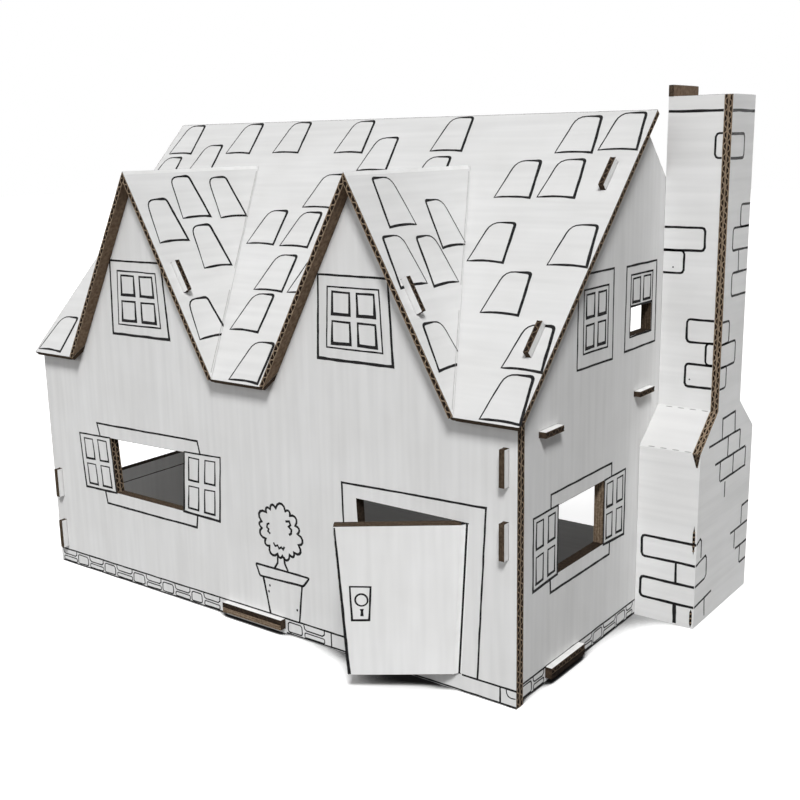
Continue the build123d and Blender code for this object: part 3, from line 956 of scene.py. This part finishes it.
side_ink.stroke([(210.2, 247.6), (210.8, 233.6)], 0.8)
hook(side_ink, 200.3, far_side, 218.2, 233.4, 0.9)
for near, far, z in ((174.4, 230, 122.3), (186.4, 242, 107.4), (197, 243.8, 93.2), (221, 254.2, 49.0),
                     (232, 254.2, 34.3), (242, 254.2, 20.8), (241, 254.2, 64.0)):
    side_ink.stroke([(near, z), (far, z + 0.4)], 1.0)
side_ink.stroke([(196.9, 122.6), (196.7, 136.9), (219.0, 137.6), (220.4, 122.6)], 0.95)
for d, low, high in ((208.4, 108, 122.3), (230.6, 109, 122.6), (195.8, 93.6, 107.4), (219.6, 92.8, 108.6),
                     (242.8, 93.3, 107.6), (206, 79.6, 91), (241.2, 50.3, 64), (229.6, 35.3, 48.4),
                     (241.2, 21, 34)):
    side_ink.stroke([(d, low), (d, high)], 0.9)
base_end = CH_RIGHT - 0.3
hook(base_ink, 212.0, base_end, 44.1, 58.9, 1.35)
hook(base_ink, 211.9, base_end, 14.8, 29.2, 1.35)
base_ink.stroke([(236.8, 43.7), (237.0, 29.6)], 1.2)
base_ink.stroke([(236.8, 13.9), (237.1, 0.8)], 2.0)
side_base = front_base + 0.2
side_ink.stroke([(side_base, 59.0), (166.2, 61.6), (168.4, 59.5), (168.8, 47.5)], 0.9)
side_ink.stroke([(side_base, 44.1), (176.6, 46.8), (178.4, 44.6), (179.0, 32.6), (176.4, 30.4),
                 (side_base, 29.3)], 0.95)
side_ink.stroke([(side_base, 14.8), (189.8, 17.2)], 0.95)
side_ink.stroke([(177.6, 17.2), (178.8, 2.6)], 0.8)
for near, z in ((226, 158.2), (236, 173.2), (222, 262.6), (234, 277.4)):
    hook(back_ink, near, base_end, z, z + 14.6)
stack_ink.blot(215.2, 236.9, 1.1, 1.1)
stack_ink.blot(229.6, 163.0, 1.1, 1.1)
for ink in (stack_ink, side_ink, base_ink, back_ink):
    ink.done()

# Score lines on the chimney's shoulder and along the dormers' valleys, and the chimney's split corner
score = Ink("shoulder_scores", lambda u, v, h: deep(u, front_stack, CH_HIGH) + fall.normalized() * v
            + shoulder_out.normalized() * h, mat=slot_mat)
for v in (0.9, fall.length - 0.9):
    for i in range(4):
        u = CH_LEFT + 6 + i * 8.4
        score.stroke([(u, v, 0.5), (u + 1.2, v), (u + 3.4, v), (u + 4.6, v, 0.5)], 0.55, waver=0.1)
score.done()
for label, i, side in dormer_sides:
    ink = Ink(f"valley_score_{label}", on_dormer(DORMERS[i], side), mat=grey_mat)
    for a, b in ((0.03, 0.52), (0.62, 0.98)):
        ink.stroke([(DORMER_REACH * (1 - t) - 0.9, DORMER_DROP * t) for t in (a, (a + b) / 2, b)], 0.55)
    ink.done()


def slit(edges, low, high):
    """A split in the folded corner that bares the flutes."""
    mid = (low + high) / 2
    lens = [(0, low), (0.9, mid - 4), (0.9, mid + 4), (0, high), (-0.9, mid + 4), (-0.9, mid - 4)]
    edges.face([on_base(CH_RIGHT - 2.0 + u, z, 0.08) for u, z in lens], 0)
    flute = ((-2.8, 0), (-1.2, 0.4), (-1.2, 1.3), (-2.8, 0.9))
    z = low + 2.5
    while z < high - 2:
        edges.face([on_base(CH_RIGHT + u, z + v, 0.12) for u, v in flute], 1)
        z += 3.2


slits = Edges("chimney_slits")
slit(slits, 51.5, 72.0)
slit(slits, 0.6, 13.5)
slits.done()

# Crushed crease between the wall and the door
crease = Piece("door_crease", [crease_mat, ink_mat], None)
ROWS, COLS = 12, 10


def crease_point(share, z):
    """From the wall's outer corner to the door's, dipping into the fold."""
    a = deep(edge_at(DOOR_RIGHT, z) + 0.1, 0, z)
    b = door_turn @ deep(edge_at(DOOR_RIGHT, z) - HINGE_GAP - CREASE - 0.1, 0, z)
    line = a.lerp(b, share)
    dip = deep(edge_at(DOOR_RIGHT, z) - HINGE_GAP - 2.0, 2.2, z)
    return line.lerp(dip, 0.15 * math.sin(math.pi * share))


levels = [door_low + (door_high - door_low) * i / ROWS for i in range(ROWS + 1)]
for z0, z1 in zip(levels, levels[1:]):
    for j in range(COLS):
        s0, s1 = j / COLS, (j + 1) / COLS
        crease.face([crease_point(s0, z0), crease_point(s1, z0), crease_point(s1, z1), crease_point(s0, z1)],
                    1 if 1 <= j <= 3 else 0)
crease_obj = crease.done()
middle = (door_low + door_high) / 2
hinge_way = (hinge_head - hinge_foot).normalized()
fold_start, fold_end = crease_point(0, middle), crease_point(1, middle)
fold_end -= hinge_way * (fold_end - fold_start).dot(hinge_way)     # square to the leaning hinge
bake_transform(crease_obj)

# Floor, light and camera
floor_mesh = bpy.data.meshes.new("floor")
SPREAD = 6.0
ground = [(x * SPREAD, y * SPREAD, 0) for x, y in ((-1, -1), (1, -1), (1, 1), (-1, 1))]
floor_mesh.from_pydata(ground, [], [(0, 1, 2, 3)])
floor = bpy.data.objects.new("floor", floor_mesh)
floor.location.z = -0.0003
bpy.context.collection.objects.link(floor)


def seen_directly(tree):
    """1 for rays from the camera, mirrors and glass."""
    path = tree.nodes.new("ShaderNodeLightPath")
    both = math_node(tree, "MAXIMUM", path.outputs["Is Camera Ray"], path.outputs["Is Glossy Ray"])
    return math_node(tree, "MAXIMUM", both, path.outputs["Is Transmission Ray"])


def diffuse(tree, grey):
    node = tree.nodes.new("ShaderNodeBsdfDiffuse")
    node.inputs["Color"].default_value = (grey, grey, grey, 1)
    return node


def either(tree, share, first, second):
    """The first shader where share is 0, the second where it is 1."""
    node = tree.nodes.new("ShaderNodeMixShader")
    link(tree, share, node.inputs["Fac"])
    link(tree, first.outputs[0], node.inputs[1])
    link(tree, second.outputs[0], node.inputs[2])
    return node


KEY_WAY = Vector((0.38, -0.5, 0.778)).normalized()


def studio_floor():
    """Keeps the shadow by the door, deeper where the key light can't reach, and is white further off."""
    mat = bpy.data.materials.new("studio_floor")
    mat.use_nodes = True
    tree = mat.node_tree
    tree.nodes.clear()
    nook = tree.nodes.new("ShaderNodeAmbientOcclusion")
    nook.samples = 48
    nook.inputs["Distance"].default_value = 0.12
    lit_from = tree.nodes.new("ShaderNodeCombineXYZ")
    for socket, value in zip(lit_from.inputs, KEY_WAY):
        socket.default_value = value
    link(tree, lit_from.outputs[0], nook.inputs["Normal"])
    near_floor = diffuse(tree, 1.0)
    link(tree, range_node(tree, nook.outputs["AO"], 0.6, 0.71, 0.04, 1.2), near_floor.inputs["Color"])
    glow = tree.nodes.new("ShaderNodeEmission")
    glow.inputs["Strength"].default_value = 0.85
    far_floor = tree.nodes.new("ShaderNodeAddShader")
    link(tree, glow.outputs[0], far_floor.inputs[0])
    link(tree, diffuse(tree, 0.5).outputs[0], far_floor.inputs[1])
    away = tree.nodes.new("ShaderNodeVectorMath")
    away.operation = "DISTANCE"
    link(tree, tree.nodes.new("ShaderNodeTexCoord").outputs["Object"], away.inputs[0])
    away.inputs[1].default_value = (0.12, -0.02, 0)
    fade = range_node(tree, away.outputs["Value"], 0.14, 0.32, kind="SMOOTHSTEP")
    seen = either(tree, fade, near_floor, far_floor)
    all_rays = either(tree, seen_directly(tree), diffuse(tree, 0.25), seen)
    out = tree.nodes.new("ShaderNodeOutputMaterial")
    link(tree, all_rays.outputs[0], out.inputs["Surface"])
    return mat


def studio_world():
    """Dim even light, a little stronger from the front, and a white backdrop."""
    world = bpy.data.worlds.new("studio")
    world.use_nodes = True
    tree = world.node_tree
    tree.nodes.clear()
    sky, white = (tree.nodes.new("ShaderNodeBackground") for _ in range(2))
    for node in (sky, white):
        node.inputs["Color"].default_value = (1, 1, 1, 1)
    way = split(tree, tree.nodes.new("ShaderNodeTexCoord").outputs["Generated"])
    link(tree, range_node(tree, way["Y"], -0.6, 0.6, 0.15, 0.13), sky.inputs["Strength"])
    out = tree.nodes.new("ShaderNodeOutputWorld")
    link(tree, either(tree, seen_directly(tree), sky, white).outputs[0], out.inputs["Surface"])
    return world


floor_mesh.materials.append(studio_floor())
bpy.context.scene.world = studio_world()


def softbox(name, towards_light, strength, spread):
    """Even light from one side of the studio, as soft as its spread in degrees."""
    data = bpy.data.lights.new(name, "SUN")
    data.energy = strength
    data.angle = math.radians(spread)
    obj = bpy.data.objects.new(name, data)
    way = Vector(towards_light).normalized()
    obj.location = way * 3
    obj.rotation_euler = way.to_track_quat("Z", "Y").to_euler()
    bpy.context.collection.objects.link(obj)


softbox("key_light", KEY_WAY, 2.9, 14)
softbox("front_light", (-0.35, -0.93, 0.08), 0.95, 60)
softbox("back_light", (0.15, 0.97, 0.1), 0.75, 20)

YAW, DOWN, ROLL = (math.radians(a) for a in (37.088, 13.113, -1.086))
look = Vector((-math.sin(YAW) * math.cos(DOWN), math.cos(YAW) * math.cos(DOWN), -math.sin(DOWN)))
level = Vector((math.cos(YAW), math.sin(YAW), 0))
rise = level.cross(look)
cam_right = level * math.cos(ROLL) + rise * math.sin(ROLL)
cam_up = rise * math.cos(ROLL) - level * math.sin(ROLL)
cam_data = bpy.data.cameras.new("camera")
cam_data.sensor_fit = "HORIZONTAL"
SENSOR, FOCAL_PX, PHOTO_PX = 36.0, 1117.45, 800
cam_data.sensor_width = SENSOR
cam_data.lens = SENSOR * FOCAL_PX / PHOTO_PX
camera = bpy.data.objects.new("camera", cam_data)
turn = Matrix((cam_right, cam_up, -look)).transposed()
camera.matrix_world = Matrix.Translation(deep(513.8, -507.61, 321.81) * MM) @ turn.to_4x4()
bpy.context.collection.objects.link(camera)
bpy.context.scene.camera = camera
bpy.context.scene.view_settings.view_transform = "Standard"
